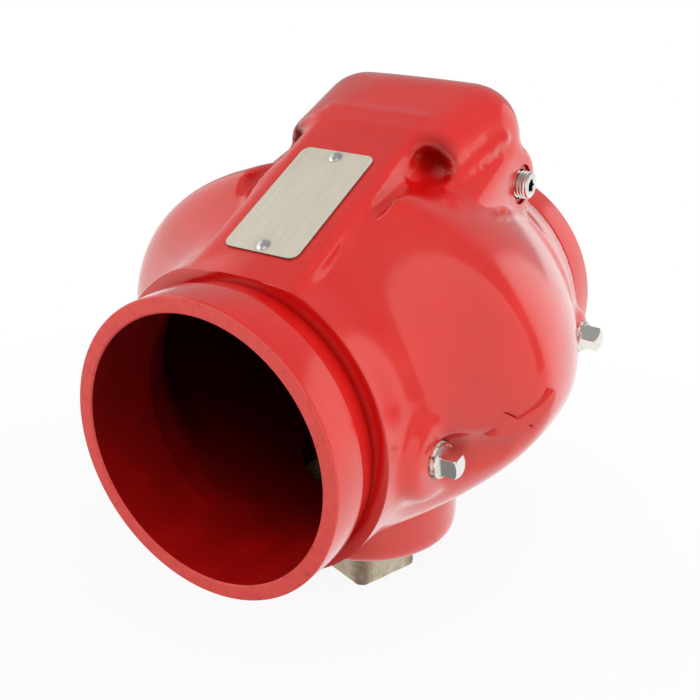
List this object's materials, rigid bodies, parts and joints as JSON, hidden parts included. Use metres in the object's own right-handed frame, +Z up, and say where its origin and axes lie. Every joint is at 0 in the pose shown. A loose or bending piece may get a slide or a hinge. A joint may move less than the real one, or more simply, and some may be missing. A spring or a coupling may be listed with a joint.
{
  "type": "swing check valve",
  "caption": "Grooved-end swing check valve: red cast body, hinged sprung clapper on a bronze seat, square-head drain and gauge plugs, blank nameplate.",
  "frame": {"origin": "centre of the outlet end face, on the waterway axis", "axes": "+Y along the waterway from the outlet to the inlet, +Z up out of the hinge housing, +X to the gauge plug side"},
  "size_m": [0.194, 0.213, 0.2132],
  "materials": {
    "red_paint": "gloss",
    "bronze": "machined",
    "rubber_black": "satin",
    "stainless": "satin",
    "plated_steel": "bright",
    "galvanised": "dull zinc",
    "plate": "satin",
    "clapper_iron": "phosphate",
    "spacer_white": "plain"
  },
  "bodies": {
    "body": {"valve_body": "red_paint", "seat_ring": "bronze", "seat_o_ring": "rubber_black", "hinge_pin": "stainless", "hinge_spacer_left": "spacer_white", "hinge_spacer_right": "spacer_white", "closing_spring": "stainless", "hinge_plug_left": "plated_steel", "hinge_plug_right": "plated_steel", "outlet_gauge_plug": "plated_steel", "inlet_gauge_plug": "plated_steel", "drain_plug": "galvanised", "nameplate": "plate", "nameplate_rivets": "stainless"},
    "clapper_assembly": {"clapper": "clapper_iron", "clapper_bush_left": "bronze", "clapper_bush_right": "bronze", "clapper_seal": "rubber_black", "seal_clamp_plate": "stainless", "clamp_bolt": "stainless", "clamp_bolt_washer": "stainless", "clamp_nut": "stainless", "clamp_nut_washer": "stainless"}
  },
  "joints": [
    {"name": "clapper_swing", "type": "hinge", "parent": "body", "child": "clapper_assembly", "pos_m": [0, 0.152, 0.0682], "axis": [-1, 0, 0], "range_deg": [0, 75], "stiffness_Nm_per_rad": 0.15, "springref_deg": -114.59, "deforming": ["closing_spring"]}
  ]
}
